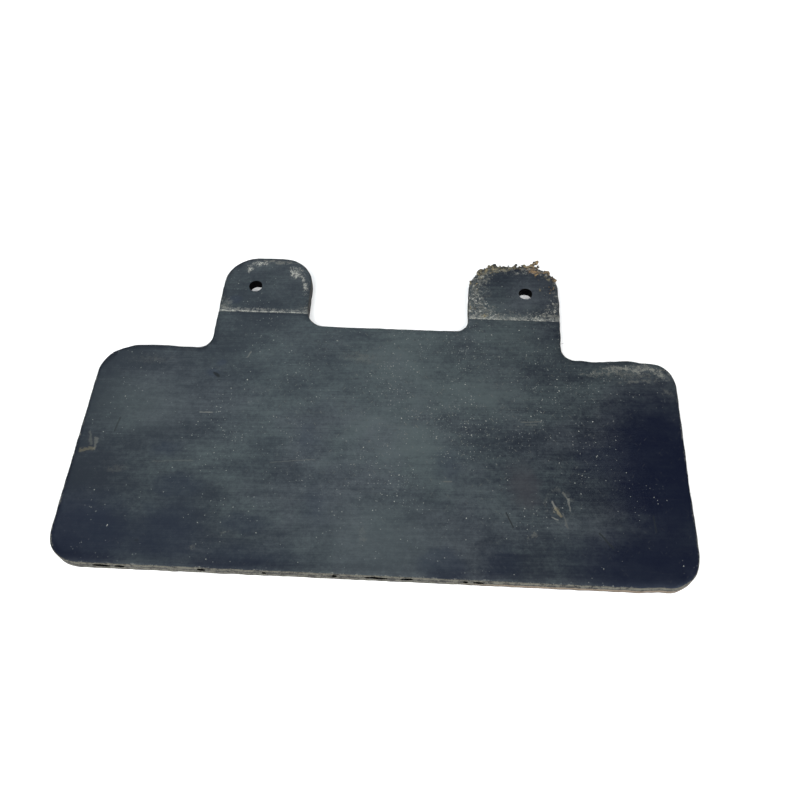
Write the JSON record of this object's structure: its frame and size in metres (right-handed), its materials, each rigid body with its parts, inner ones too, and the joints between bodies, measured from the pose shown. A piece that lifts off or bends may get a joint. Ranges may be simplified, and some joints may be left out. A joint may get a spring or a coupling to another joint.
{
  "type": "mud flap",
  "caption": "Flat rubber mud flap with a fabric ply: a wide apron below two ears, each ear with a bolt hole, bending along the crease at the foot of the ears.",
  "frame": {"origin": "on the rear face, midway between the two bolt holes", "axes": "+X across the flap (its longest side), +Y up towards the ears, +Z out of the front face"},
  "size_m": [0.3048, 0.188, 0.0063],
  "materials": {
    "front_rubber": "weathered matt black rubber with a grey bloom",
    "fabric_ply": "woven cotton and polyester ply, seen only at the cut edge",
    "rear_rubber": "matt black rubber"
  },
  "bodies": {
    "ears": {"rear_cover_creases": "rear_rubber", "rear_cover_left_ear": "rear_rubber", "rear_cover_right_ear": "rear_rubber", "fabric_ply_creases": "fabric_ply", "fabric_ply_left_ear": "fabric_ply", "fabric_ply_right_ear": "fabric_ply", "front_cover_creases": "front_rubber", "front_cover_left_ear": "front_rubber", "front_cover_right_ear": "front_rubber"},
    "apron": {"rear_cover_apron": "rear_rubber", "fabric_ply_apron": "fabric_ply", "front_cover_apron": "front_rubber"}
  },
  "joints": [
    {"name": "apron_flex", "type": "hinge", "parent": "ears", "child": "apron", "pos_m": [0, -0.01817, 0.00317], "axis": [1, 0, 0], "range_deg": [-60, 60], "stiffness_Nm_per_rad": 0.35, "deforming": ["rear_cover_creases", "fabric_ply_creases", "front_cover_creases"]}
  ]
}
